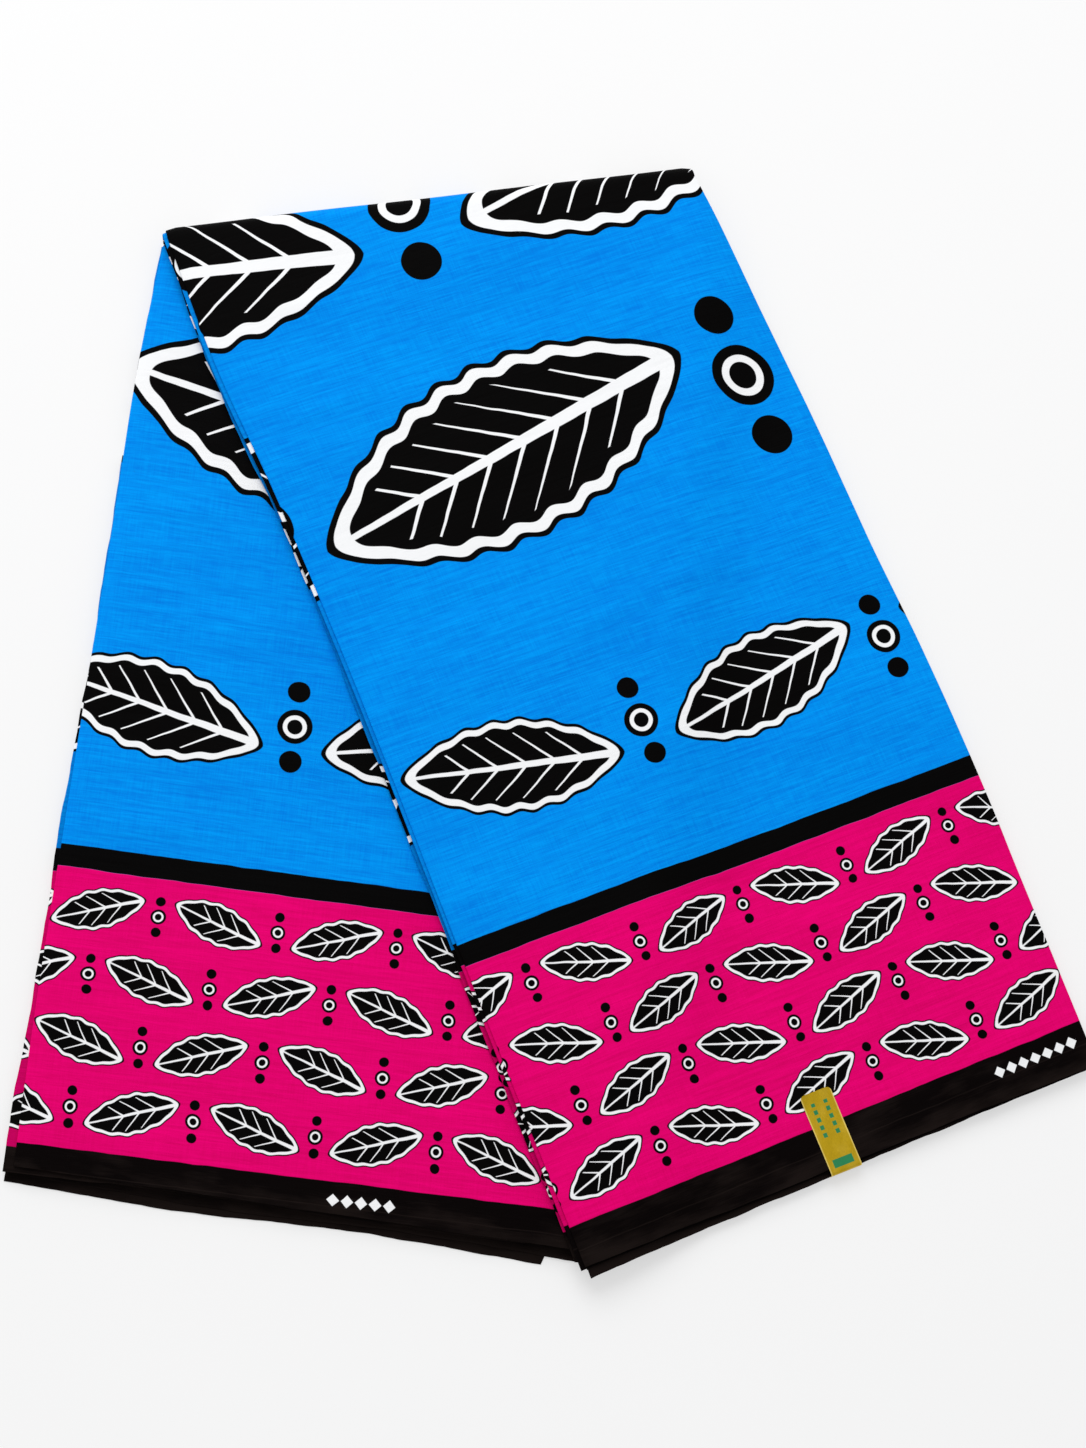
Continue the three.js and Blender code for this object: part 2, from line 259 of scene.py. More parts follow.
def relief(creases, s, t):
    """Height that creases and swells add to the top sheet."""
    height = np.zeros_like(s)
    for along_s, along_t, phase, size in SWELLS:
        height += size * np.sin(2 * math.pi * (s / along_s + t / along_t) + phase)
    for s0, t0, s1, t1, width, size in creases:
        length = math.hypot(s1 - s0, t1 - t0)
        ahead_s, ahead_t = (s1 - s0) / length, (t1 - t0) / length
        ahead = (s - s0) * ahead_s + (t - t0) * ahead_t
        beside = (s - s0) * ahead_t - (t - t0) * ahead_s
        fade_length = CREASE_FADE * length
        fade = smooth_step(ahead / fade_length) * smooth_step((length - ahead) / fade_length)
        height += size * fade * np.exp(-((beside / width) ** 2))
    return height


LIFT_FROM = 7.0  # ridges lift nothing below this height


def relief_at(height, bumps):
    """A trough presses every layer down by its share, and a ridge lifts only the top sheet."""
    share_pressed = np.clip(height / FOLD_RADIUS, 0, 1)
    share_lifted = np.clip((height - LIFT_FROM) / (FOLD_RADIUS - LIFT_FROM), 0, 1)
    return np.minimum(bumps, 0) * share_pressed + np.maximum(bumps, 0) * share_lifted


print("creases by hand:", len(FRONT_CREASES), "on the front leg,", len(BACK_CREASES), "on the back")

# %% [markdown]
# ## The two legs as functions
#
# Each leg turns (x across, v along, turn round the fold, height, distance past the hem) into
# a place in space and a place on the cloth. The front leg lies on the back leg near the fold
# and comes down to the table beside it. At the fold it goes half way round, where the turn
# angle counts from 0 on top to pi underneath.

# %% The front leg
FLAT_FROM = 1.2  # turn angle from which the creases die away round the fold
FLAT_WITHIN = 1.5


def front_leg(x, v, turn, height, past_hem):
    left, across, down, width = edge_lines(FRONT_SECTIONS, v)
    place = left + across * x[..., None] + down * past_hem[..., None]
    share = np.clip(x / width, 0, 1)
    from_edge = np.minimum(x, width - x)
    kept = 1 - EDGE_ROLL * np.maximum(0, 1 - from_edge / ROLL_WIDTH)
    rolled = MEETING + (height - MEETING) * kept
    t = cloth_length(FRONT_SECTIONS, FRONT_PRINT_SLANT, share, v, past_hem)
    bumps = relief(FRONT_CREASES, x, t) * (1 - smooth_step((turn - FLAT_FROM) / FLAT_WITHIN))
    rolled = rolled + relief_at(height, bumps)
    slope = smooth_step((past_edge(place, BACK_RIGHT_EDGE) - SLOPE_START) / SLOPE_WIDTH)
    underside = UNDER_FRONT_LEG * (1 - slope)
    on_leg = turn <= 0
    z = np.where(on_leg, underside + rolled - MEETING, FOLD_RADIUS + rolled * np.cos(turn))
    place = place + FOLD_OUTWARD * (rolled * np.sin(turn))[..., None]
    # The cloth's ruler goes on in a straight line past the fold, which crosses it at a slant.
    beyond = FOLD_OUTWARD * (FOLD_RADIUS * turn)[..., None]
    s = x + (beyond * across).sum(axis=-1)
    t = t - (beyond * down).sum(axis=-1)
    return np.dstack([place + SHIFT, np.maximum(z, ON_TABLE)]), s, t


# %% The back leg
# The hidden part of the back leg lies under the front leg, where nothing may stand proud.
HIDDEN_FADE = 12


def back_leg(x, v, turn, height, past_hem):
    left, across, down, width = edge_lines(BACK_SECTIONS, v)
    place = left + across * x[..., None] + down * past_hem[..., None]
    back_off = FOLD_CLEARANCE * np.clip(1 - v / CLEAR_ROWS, 0, 1)
    place = place - FOLD_OUTWARD * back_off[..., None]
    share = np.clip(x / width, 0, 1)
    from_edge = np.minimum(x, width - x)
    kept = 1 - EDGE_ROLL * np.maximum(0, 1 - from_edge / ROLL_WIDTH)
    t = cloth_length(BACK_SECTIONS, BACK_PRINT_SLANT, share, v, past_hem)
    bumps = relief(BACK_CREASES, x, t)
    open_air = smooth_step(-past_edge(place, FRONT_LEFT_EDGE) / HIDDEN_FADE)
    bumps = np.minimum(bumps, 0) + np.maximum(bumps, 0) * open_air
    # Heights count from the middle of the fold, which is above the back leg.
    z = (FOLD_RADIUS - height) * kept + relief_at(FOLD_RADIUS + MEETING - height, bumps)
    return np.dstack([place + SHIFT, np.maximum(z, ON_TABLE)]), x, t


# %% [markdown]
# ## From a grid to a sheet of cloth
#
# A sheet starts as Blender's own grid. Its columns run across the leg and its rows from the
# hem to the fold, and a function says where each point goes. A folded side edge is part of
# the sheet: the cloth turns round under itself there, because a single bare edge would look
# like card. Solidify then gives the cloth its thickness inwards.

# %% Make a grid into a piece
def only(piece):
    """Selects one piece alone, because an operator acts on all that is selected."""
    bpy.ops.object.select_all(action="DESELECT")
    piece.select_set(True)
    bpy.context.view_layer.objects.active = piece


def grid_piece(name, columns, rows, places, s, t):
    """A grid of points at places in mm, with the cloth's ruler in metres as its UV map."""
    bpy.ops.object.select_all(action="DESELECT")
    bpy.ops.mesh.primitive_grid_add(x_subdivisions=columns - 1, y_subdivisions=rows - 1, size=1)
    piece = bpy.context.object
    piece.name = piece.data.name = name
    mesh = piece.data
    assert len(mesh.vertices) == columns * rows, (name, len(mesh.vertices), columns, rows)
    flat = np.empty(len(mesh.vertices) * 3)
    mesh.vertices.foreach_get("co", flat)
    flat = flat.reshape(-1, 3)
    column = np.rint((flat[:, 0] + 0.5) * (columns - 1)).astype(int)
    row = np.rint((flat[:, 1] + 0.5) * (rows - 1)).astype(int)
    mesh.vertices.foreach_set("co", (places[row, column] * MM).ravel())
    corner = np.empty(len(mesh.loops), int)
    mesh.loops.foreach_get("vertex_index", corner)
    ruler = np.stack([s[row, column], t[row, column]], axis=1)[corner] * MM
    layer = mesh.uv_layers.active or mesh.uv_layers.new(name="cloth")
    layer.name = "cloth"
    layer.data.foreach_set("uv", ruler.ravel())
    mesh.update()
    return piece


def thicken(piece, thickness=CLOTH_THICKNESS):
    """Gives a sheet its thickness on its inner side, and smooth shading round its bends."""
    only(piece)
    solid = piece.modifiers.new("thickness", "SOLIDIFY")
    solid.thickness = thickness * MM
    solid.offset = -1
    bpy.ops.object.modifier_apply(modifier=solid.name)
    bpy.ops.object.shade_smooth_by_angle(angle=SMOOTH_UP_TO)
    print(piece.name, len(piece.data.vertices), "points")
    return piece


# %% Columns across a sheet with folded side edges
EDGE_FOLD = 1.0  # outer thickness of a folded edge
EDGE_TURNS = 6
TUCK = (9, 5, 2)  # how far in the cloth lies under itself, a column each


def sheet_columns(cells):
    """Three lists, a value for each column: share across, distance in from the edge, and
    how far below the outer face. Folded edges come first and last."""
    radius = EDGE_FOLD / 2
    angles = np.linspace(-math.pi / 2, math.pi / 2, EDGE_TURNS + 1)
    inward = [*TUCK, *(radius * (1 - np.cos(angles)))]
    below = [EDGE_FOLD] * len(TUCK) + [*(radius * (1 - np.sin(angles)))]
    middle = np.linspace(0, 1, cells + 1)[1:-1]
    share = np.concatenate([np.zeros(len(inward)), middle, np.ones(len(inward))])
    inward = np.concatenate([inward, np.zeros(len(middle)), inward[::-1]])
    below = np.concatenate([below, np.zeros(len(middle)), below[::-1]])
    return share, inward, below


def across_sheet(sections, columns, v, left_out, right_out):
    """Distances across the leg, and along the cloth, for each row and column."""
    share, inward, below = columns
    width = edge_lines(sections, v)[3][:, None]
    left_out, right_out = left_out[:, None], right_out[:, None]
    side = np.where(share < 0.5, 1, -1)
    x = share * (width + left_out + right_out) - left_out + side * inward
    # On the tucked part the cloth runs back, so the ruler is mirrored at the edge.
    turned = np.where(below > EDGE_FOLD / 2, -2 * side * inward, 0)
    return x, x + turned


# %% Rows along a leg
TURN_ROWS = 16
HEM_CURL_REACH = 12  # how far from the hem the raw edge still waves


def rows_along(cells, turn_rows):
    """Shares v from the hem to the fold, then angles round the fold, a value for each row."""
    v = 1 - np.linspace(0, 1, cells + 1)
    turn = np.concatenate([np.zeros(cells + 1), np.linspace(0, math.pi, turn_rows + 1)[1:]])
    return np.concatenate([v, np.zeros(turn_rows)]), turn


HEM_RIPPLES = [
    # length of a wave along the cut edge, phase, how far it waves outwards, how high it lifts
    (83, 0.3, 0.20, 0.16),
    (41, 2.2, 0.12, 0.12),
    (23, 4.0, 0.08, 0.10),
    (9, 1.1, 0.05, 0.05),
]
OUTWARD, LIFT = 2, 3


def ripple(x, phase, kind):
    """A sum of waves along an edge; kind is OUTWARD or LIFT."""
    return sum(row[kind] * np.sin(2 * math.pi * x / row[0] + row[1] + phase) for row in HEM_RIPPLES)


def sheet(name, leg, sections, cells, rows, outer, sides, hem, phase, print_at):
    """A sheet of a leg with folded side edges and a rippled hem.

    cells are the cells across, rows are v and turn, outer is the height of the outer face, and
    sides and hem say how far the sheet shows past the leg's outline on the left, on the right
    and along the hem. phase moves its ripples, and print_at moves its print along s and t.
    """
    v, turn = rows
    columns = sheet_columns(cells)
    below = columns[2]
    x, s = across_sheet(sections, columns, v, along(sides[0], v), along(sides[1], v))
    width = edge_lines(sections, v)[3][:, None]
    v, turn = (np.broadcast_to(a[:, None], x.shape) for a in (v, turn))
    near_hem = np.exp(-((1 - v) * LEG_LENGTH / HEM_CURL_REACH))
    past_hem = (along(hem, x / width) + ripple(x, phase, OUTWARD)) * near_hem
    lift = np.abs(ripple(x, phase + 1, LIFT)) * near_hem
    outward = 1 if leg is front_leg else -1
    height = outer + outward * (lift - below)
    places, ruler, t = leg(x, v, turn, height, past_hem)
    ruler = ruler + s - x + print_at[0]
    return thicken(grid_piece(name, x.shape[1], x.shape[0], places, ruler, t + print_at[1]))


# %% [markdown]
# ## The sheets that show
#
# Three large sheets carry the print: the top of the front leg, which goes on round the fold,
# the second sheet, whose folded edge shows as a narrow strip on the left, and the top of the
# back leg. They are made with the same function and differ only in layer, reach and fineness.

# %% The top sheet of the front leg
TOP_OUTER = 8.15
LEVEL = ([0, 0], [0, 0])
FRONT_PRINT_AT = 312

front_top = sheet(
    "front_top_cloth", front_leg, FRONT_SECTIONS,
    cells=104, rows=rows_along(212, TURN_ROWS), outer=TOP_OUTER,
    sides=LEVEL, hem=[0, 0], phase=0.0, print_at=(FRONT_PRINT_AT, 0),
)

# %% The second sheet of the front leg
SECOND_OUTER = 6.85
# Past the left edge and past the right edge, each from the fold to the hem.
SECOND_PEEK = ([2.0, 2.4, 2.2, 2.0, 1.9, 1.7, 1.9, 2.3], [-0.8, -0.8])
SECOND_PRINT_AT = (137, -1.5)

front_second = sheet(
    "front_second_cloth", front_leg, FRONT_SECTIONS,
    cells=60, rows=rows_along(180, TURN_ROWS), outer=SECOND_OUTER,
    sides=SECOND_PEEK, hem=[1, 1], phase=1.7, print_at=SECOND_PRINT_AT,
)

# %% The top sheet of the back leg
BACK_OUTER = 0.15
BACK_PRINT_AT = 38

back_top = sheet(
    "back_top_cloth", back_leg, BACK_SECTIONS,
    cells=104, rows=rows_along(190, 0), outer=BACK_OUTER,
    sides=LEVEL, hem=[0, 0], phase=3.1, print_at=(BACK_PRINT_AT, 0),
)

# %% [markdown]
# ## The hidden layers
#
# Under the top sheets lie the other layers of the packet. Nobody sees their faces, so each leg
# has one closed body for them, but its rim shows every fold: a rounded nose for each pair of
# layers, with a groove between two noses and, at the hem, a slit in each nose, because the
# layers end there in cut edges. The noses wander in and out as real folds do.

# %% Tables of the folds
FRONT_FOLDS = [
    # from, to (heights), past the left edge at the fold and at the hem, past the right edge,
    # past the hem from left to right
    (0.15, 0.95, (0.5, 0.5), -1.5, (-1.0, -4.0, -2.0, -4.0)),
    (1.00, 1.80, (-0.9, -0.9), -2.3, (-2.5, -3.0, -3.6, -2.4)),
    (1.85, 2.70, (2.6, 3.6), 0.4, (-4.0, -1.5, -3.0, -1.0)),
    (2.75, 3.60, (0.9, 0.9), -0.8, (-3.0, -2.6, -1.4, -2.2)),
    (3.65, 4.55, (-1.5, -1.5), -1.0, (1.4, 0.4, -0.8, -1.8)),
    (4.60, 5.50, (-1.2, -1.2), -1.9, (6.3, 3.6, 2.0, 0.0)),
]
BACK_FOLDS = [
    # the same columns
    (1.45, 2.35, (0.2, 5.2), -0.5, (3.0, -1.2, -1.0, -1.0)),
    (2.40, 3.40, (-1.6, 1.6), -1.6, (-1.6, -2.4, -2.0, -2.6)),
    (3.45, 4.40, (-0.6, 3.2), 0.6, (-1.0, -3.0, -1.5, -3.0)),
    (4.45, 5.45, (-1.8, 0.8), -0.9, (-2.2, -0.8, -2.8, -1.6)),
    (5.50, 6.35, (-0.9, 2.6), -1.5, (1.4, 0.2, 1.0, -1.0)),
    (6.40, 7.20, (-1.3, 2.5), -0.6, (3.2, 5.4, 3.2, 4.8)),
    (7.25, 8.10, (-0.8, 4.6), -1.5, (7.5, 9.2, 6.4, 8.6)),
]
# How far the left folds have gone from their first value to their second, from fold to hem.
FRONT_SPREAD = (0, 1)
BACK_SPREAD = (0, 0, 0.03, 0.1, 0.37, 0.45, 1)
GROOVE = -2.0  # how far the grooves lie behind the leg's outline
NOSE_PROFILE = [
    # share of the fold's height, share of its reach beyond the groove
    (0.00, 0.00),
    (0.00, 0.80),
    (0.16, 0.96),
    (0.36, 1.00),
    (0.50, 1.00),
    (0.64, 1.00),
    (0.84, 0.96),
    (1.00, 0.80),
    (1.00, 0.00),
]
SLIT_ROW = 4  # this row of the profile draws back where the layers end in cut edges
SLIT_DEPTH = 1.3
WELD = 0.01  # points nearer than this become one
# How folds wander along their edge: length of a wave, and how far it reaches.
WANDER = [(170, 0.45), (74, 0.30), (31, 0.16), (13, 0.07)]
WANDER_STEP = 1.9  # how far the waves of one fold are out of step with the next
HEM_WANDER = 0.6  # share of the wander that a hem takes
RIPPLE_STEP = 2.3
PRINT_SHIFT = 83  # each fold shows another stretch of the cloth
PRINT_DROP = (2.2, -1.4, 0.8, 3.0, -0.6, 1.6, 2.6)  # no two layers are pleated quite level


def wander(distance, layer):
    """How far a fold is out of line at this distance along the edge."""
    out_of_line = np.zeros_like(distance)
    for wave, size in WANDER:
        out_of_line += size * np.sin(2 * math.pi * distance / wave + WANDER_STEP * layer + wave)
    return out_of_line


# %% A packet of hidden layers
def perimeter(cells, rows):
    """Places round a leg: down the left side, along the hem, up the right side and back."""
    v, turn = rows
    share = np.linspace(0, 1, cells + 1)
    flat, hem = np.zeros(cells - 1), np.ones(cells - 1)
    u = np.concatenate([np.zeros(len(v)), share[1:-1], np.ones(len(v)), share[-2::-1]])
    v_all = np.concatenate([v[::-1], hem, v, flat, [0]])
    turn_all = np.concatenate([turn[::-1], flat, turn, flat + turn[-1], [turn[-1]]])
    on_hem = np.concatenate([v[::-1] == 1, hem, v == 1, flat, [0]]).astype(float)
    on_side = np.concatenate([-np.ones(len(v)), flat, np.ones(len(v)), flat, [-1]])
    return u, v_all, turn_all, on_hem, on_side


def packet(name, leg, sections, folds, spread, cells, rows, flap=None):
    """The closed body of a leg's hidden layers, with a rim of folds."""
    v, turn = rows
    share = np.linspace(0, 1, cells + 1)
    side = np.zeros(cells + 1)
    side[0], side[-1] = -1, 1
    width = edge_lines(sections, v)[3][:, None]
    x = share * width + side * GROOVE
    past_hem = np.zeros_like(x)
    past_hem[v == 1] = GROOVE
    wide = [np.broadcast_to(a[:, None], x.shape) for a in (v, turn)]
    covers = []
    for cover, height in (("inner", folds[0][0]), ("outer", folds[-1][1])):
        places, s, t = leg(x, *wide, np.full_like(x, height), past_hem)
        covers.append(grid_piece(f"{name}_{cover}", x.shape[1], x.shape[0], places, s, t))

    u, v_round, turn_round, on_hem, on_side = perimeter(cells, rows)
    width = edge_lines(sections, v_round)[3]
    distance = np.where(on_hem > 0, u * width, (1 - v_round) * LEG_LENGTH)
    lines = []
    for layer, (start, end, left, right, hem) in enumerate(folds):
        loose = wander(distance, layer)
        left_out = along(left, along(spread, v_round))
        side_out = np.where(on_side < 0, left_out, right) + loose
        hem_out = along(hem, u) + HEM_WANDER * loose
        hem_out = hem_out + ripple(u * width, RIPPLE_STEP * layer, OUTWARD)
        if flap and layer == len(folds) - 1:
            hem_out = flap(u, hem, hem_out)
        for row, (rise, reach) in enumerate(NOSE_PROFILE):
            slit = SLIT_DEPTH * on_hem if row == SLIT_ROW else 0
            out_side = GROOVE + (side_out - GROOVE) * reach
            out_hem = GROOVE + (hem_out - GROOVE) * reach - slit
            x = u * width + on_side * out_side
            past = on_hem * out_hem
            height = np.full_like(x, start + (end - start) * rise)
            lines.append((x, past, height, (layer + 1) * PRINT_SHIFT, PRINT_DROP[layer]))
    x, past, height = (np.stack([line[i] for line in lines]) for i in range(3))
    shift, drop = (np.array([line[i] for line in lines])[:, None] for i in (3, 4))
    wide = [np.broadcast_to(a, x.shape) for a in (v_round, turn_round)]
    places, s, t = leg(x, *wide, height, past)
    rim = grid_piece(f"{name}_rim", x.shape[1], x.shape[0], places, s + shift, t + drop)

    only(rim)
    for cover in covers:
        cover.select_set(True)
    bpy.ops.object.join()
    rim.name = rim.data.name = name
    bpy.ops.object.mode_set(mode="EDIT")
    bpy.ops.mesh.select_all(action="SELECT")
    bpy.ops.mesh.remove_doubles(threshold=WELD * MM)
    bpy.ops.mesh.normals_make_consistent(inside=False)
    bpy.ops.object.mode_set(mode="OBJECT")
    bpy.ops.object.shade_smooth_by_angle(angle=SMOOTH_UP_TO)
    print(name, len(rim.data.vertices), "points")
    return rim


# %% [markdown]
# The lowest fold of the back leg ends in a corner of its own, a little before the front leg
# covers the hem. A function draws its reach back beyond that corner.

# %% Both packets
FLAP_END = 0.898  # share of the way across
FLAP_CORNER = 0.004
FLAP_TUCK = -3


def flap_corner(u, hem, hem_out):
    """The reach of the lowest fold, which ends at FLAP_END."""
    reach = along(hem, u / FLAP_END) + hem_out - along(hem, u)
    cut = smooth_step((u - FLAP_END) / FLAP_CORNER)
    return reach + (FLAP_TUCK - reach) * cut


front_packet = packet(
    "front_packet", front_leg, FRONT_SECTIONS, FRONT_FOLDS, FRONT_SPREAD,
    cells=78, rows=rows_along(124, 12),
)
back_packet = packet(
    "back_packet", back_leg, BACK_SECTIONS, BACK_FOLDS, BACK_SPREAD,
    cells=78, rows=rows_along(118, 0), flap=flap_corner,
)

# %% [markdown]
# ## The foil label
#
# A strip of gold foil is stuck over the hem, half on the top sheet and half turned down past
# it. It starts as a grid too: its rows follow the route over the hem, and the first rows are
# narrower, which rounds the two corners at its upper end.

# %% The label's route and form
LABEL_LENGTH = 40.5  # on the cloth
LABEL_WIDTH = 17.5
LABEL_LEFT = 0.466  # share of the way across
LABEL_CLEAR = 3.4  # past the hem before it turns down
LABEL_DROP = 3.6
LABEL_BEND = 1.6
LABEL_LIFT = 0.5
LABEL_THICKNESS = 0.22
LABEL_CORNER = 2.6
CURL_HEIGHT, CURL_REACH = 0.35, 5  # the upper end lifts at its two sides
BUCKLE_HEIGHT, BUCKLE_LENGTH = 0.06, 3.1  # foil never lies quite smooth

hem_width = float(edge_lines(FRONT_SECTIONS, np.array([1.0]))[3][0])
flat_run = LABEL_LENGTH + LABEL_CLEAR - LABEL_BEND
bend_run = LABEL_BEND * math.pi / 2
run = np.concatenate([
    np.linspace(0, LABEL_CORNER, 9)[:-1],
    np.linspace(LABEL_CORNER, flat_run, 44)[:-1],
    np.linspace(flat_run, flat_run + bend_run, 9)[:-1],
    np.linspace(flat_run + bend_run, flat_run + bend_run + LABEL_DROP, 7),
])
turned = np.clip((run - flat_run) / LABEL_BEND, 0, math.pi / 2)
down_run = np.maximum(run - flat_run - bend_run, 0)
label_past = -LABEL_LENGTH + np.minimum(run, flat_run) + LABEL_BEND * np.sin(turned)
label_height = TOP_OUTER + LABEL_LIFT - LABEL_BEND * (1 - np.cos(turned)) - down_run

half = np.full_like(run, LABEL_WIDTH / 2)
rounding = np.clip(LABEL_CORNER - run, 0, None)
half -= LABEL_CORNER - np.sqrt(LABEL_CORNER**2 - rounding**2)
label_share = np.linspace(-1, 1, 17)
x = LABEL_LEFT * hem_width + LABEL_WIDTH / 2 + label_share * half[:, None]
rows = (label_past, label_height, run)
past, height, down_label = (np.broadcast_to(row[:, None], x.shape) for row in rows)
curl = CURL_HEIGHT * np.exp(-down_label / CURL_REACH) * label_share**2
curl = curl + BUCKLE_HEIGHT * np.sin(down_label / BUCKLE_LENGTH + x)
height = height + np.maximum(curl, 0)
places = front_leg(x, np.ones_like(x), np.zeros_like(x), height, past)[0]
# The first row is the upper end, and a grid's rows run from the hem, so the rows are turned.
label = grid_piece(
    "foil_label", x.shape[1], x.shape[0], places[::-1], (x - x.min())[::-1], down_label[::-1]
)
thicken(label, LABEL_THICKNESS)

# %% [markdown]
# ## Shader maths as Python
#
# A print is a drawing made of sums. Each Wire holds one output of the node tree, and its
# operators add Math nodes, so that a leaf can be written as a formula. Everything else comes
# from one method, which adds any node from its type, its settings and its inputs.

# %% One small class for shader maths
class Wire:
    def __init__(self, tree, socket=None):
        self.tree = tree
        self.socket = socket

    def node(self, kind, settings=None, inputs=None, output=0):
        """Adds a node of any kind: its settings first, then values or wires for its sockets."""
        made = self.tree.nodes.new(kind)
        for name, value in (settings or {}).items():
            setattr(made, name, value)
        for key, value in (inputs or {}).items():
            if isinstance(value, Wire):
                self.tree.links.new(value.socket, made.inputs[key])
            else:
                made.inputs[key].default_value = value
        return Wire(self.tree, made.outputs[output])

    def math(self, operation, *others):
        values = dict(enumerate((self, *others)))
        return self.node("ShaderNodeMath", {"operation": operation}, values)

    def __add__(self, other):
        return self.math("ADD", other)

    __radd__ = __add__

    def __mul__(self, other):
        return self.math("MULTIPLY", other)

    def __sub__(self, other):
        return self.math("SUBTRACT", other)

    def __rsub__(self, other):
        return self.node("ShaderNodeMath", {"operation": "SUBTRACT"}, {0: other, 1: self})

    def __truediv__(self, other):
        return self.math("DIVIDE", other)

    def __abs__(self):
        return self.math("ABSOLUTE")

    def __gt__(self, other):
        return self.math("GREATER_THAN", other)

    def smaller(self, other):
        return self.math("MINIMUM", other)

    def larger(self, other):
        return self.math("MAXIMUM", other)

    def floor(self):
        return self.math("FLOOR")

    def fraction(self):
        return self.math("FRACT")

    def reach(self, other):
        """The length of the vector with these two sides."""
        return (self * self + other * other).math("SQRT")

    def inside(self, softness):
        """1 where a distance is below zero and 0 above, over a soft edge."""
        values = {0: self, 1: -softness, 2: softness, 3: 1.0, 4: 0.0}
        return self.node("ShaderNodeMapRange", {}, values)

    def mix(self, first, second):
        """Goes from one colour to the other as this wire goes from 0 to 1."""
        values = {0: self, 6: first, 7: second}
        return self.node("ShaderNodeMix", {"data_type": "RGBA"}, values, output=2)


def new_material(name):
    """A material with an empty tree but for its shader, which is given with the first wire."""
    material = bpy.data.materials.new(name)
    material.use_nodes = True
    shader = material.node_tree.nodes["Principled BSDF"]
    return material, shader, Wire(material.node_tree)


def feed(wire, shader, socket):
    wire.tree.links.new(wire.socket, shader.inputs[socket])


# %% [markdown]
# ## The print
#
# Wax prints are built from bold shapes with a white edge. This one carries long veined leaves
# in three sizes: four rows of small ones on the pink border, one row of middle ones above
# it, and large ones in the middle of the cloth, with ring and seed marks between their tips.
# The three sizes are one drawing. The distance from the hem picks how large it is, so the
# tree holds a single leaf. A leaf is where two circles overlap, and its edge is scalloped
# in step with its side veins.

# %% Colours of the inks
DEEP_BLUE = (0.0, 0.206, 0.770, 1)
THIN_BLUE = (0.0, 0.310, 0.896, 1)
DEEP_PINK = (0.700, 0.0003, 0.128, 1)
THIN_PINK = (0.815, 0.0006, 0.168, 1)
INK_BLACK = (0.0012, 0.0010, 0.0010, 1)
HEM_BLACK = (0.0020, 0.0010, 0.0010, 1)
WORN_HEM_BLACK = (0.0098, 0.0064, 0.0056, 1)
WHITE = (0.89, 0.90, 0.915, 1)

# %% Sizes of the print
# Bands, in metres from the hem: black hem, pink border, black band, then blue ground.
HEM_BAND = 0.021
BORDER_TOP = 0.164
BAND_TOP = 0.176
BAND_MIDDLE = 0.170
LARGE_FROM = 0.335
# Each row of numbers is for the border, the row above it, and the middle of the cloth.
LEAF_HALF_LENGTH = (0.0242, 0.0570, 0.1120)
LEAF_PITCH = (0.0620, 0.1500, 0.2960)
ROW_FROM = (0.0250, 0.1760, 0.3450)
ROW_PITCH = (0.0340, 0.1590, 0.1600)
LEAF_TILT = (0.34, 0.22, 0.20)
VEIN_PITCH = (0.36, 0.28, 0.21)
VEIN_WIDTH = (0.024, 0.019, 0.016)
# The rest is in half lengths of a leaf.
LEAF_HALF_WIDTH = 0.40
WHITE_EDGE = 0.060
DARK_EDGE = 0.030
VEIN_SLANT = 1.15
VEIN_ROOTS = (-0.53, 0.80)
VEIN_TAPER = 0.035
VEIN_END = 0.050  # how far a vein ends before the leaf's edge
MIDRIB_WIDTH = 0.027
MIDRIB_TAPER = 0.012
MIDRIB_OVERLAP = 0.02
SCALLOP = 0.036
TIP_AT = 0.95
TIP_BLUNT, TIP_BLEND = 0.6, 0.05  # slope of the cap on a tip, and how softly it joins
RING_RADIUS = 0.165
WHITE_RING_RADIUS = 0.0924
WHITE_RING_HALF_WIDTH = 0.0198
SEED_RADIUS = 0.105
SEED_APART = 0.34
EDGE_SOFTNESS = 0.00014
# Rows of plain white diamonds on the hem band: from s, to s, in metres. Each row starts and
# ends between two diamonds.
DIAMOND_ROWS = ((0.1944, 0.2304), (0.5544, 0.6048))
DIAMOND_PITCH = 0.0072
DIAMOND_RADIUS = 0.0032
DIAMONDS_AT = 0.0118


def threads(wire, ruler, along_s, along_t, detail):
    """Noise from 0 to 1 that is drawn out along one way of the threads. A larger number makes
    it finer that way."""
    scale = {0: ruler, 1: (along_s, along_t, 1)}
    drawn_out = wire.node("ShaderNodeVectorMath", {"operation": "MULTIPLY"}, scale)
    noise = {"Vector": drawn_out, "Scale": 1.0, "Detail": detail}
    return wire.node("ShaderNodeTexNoise", {}, noise)


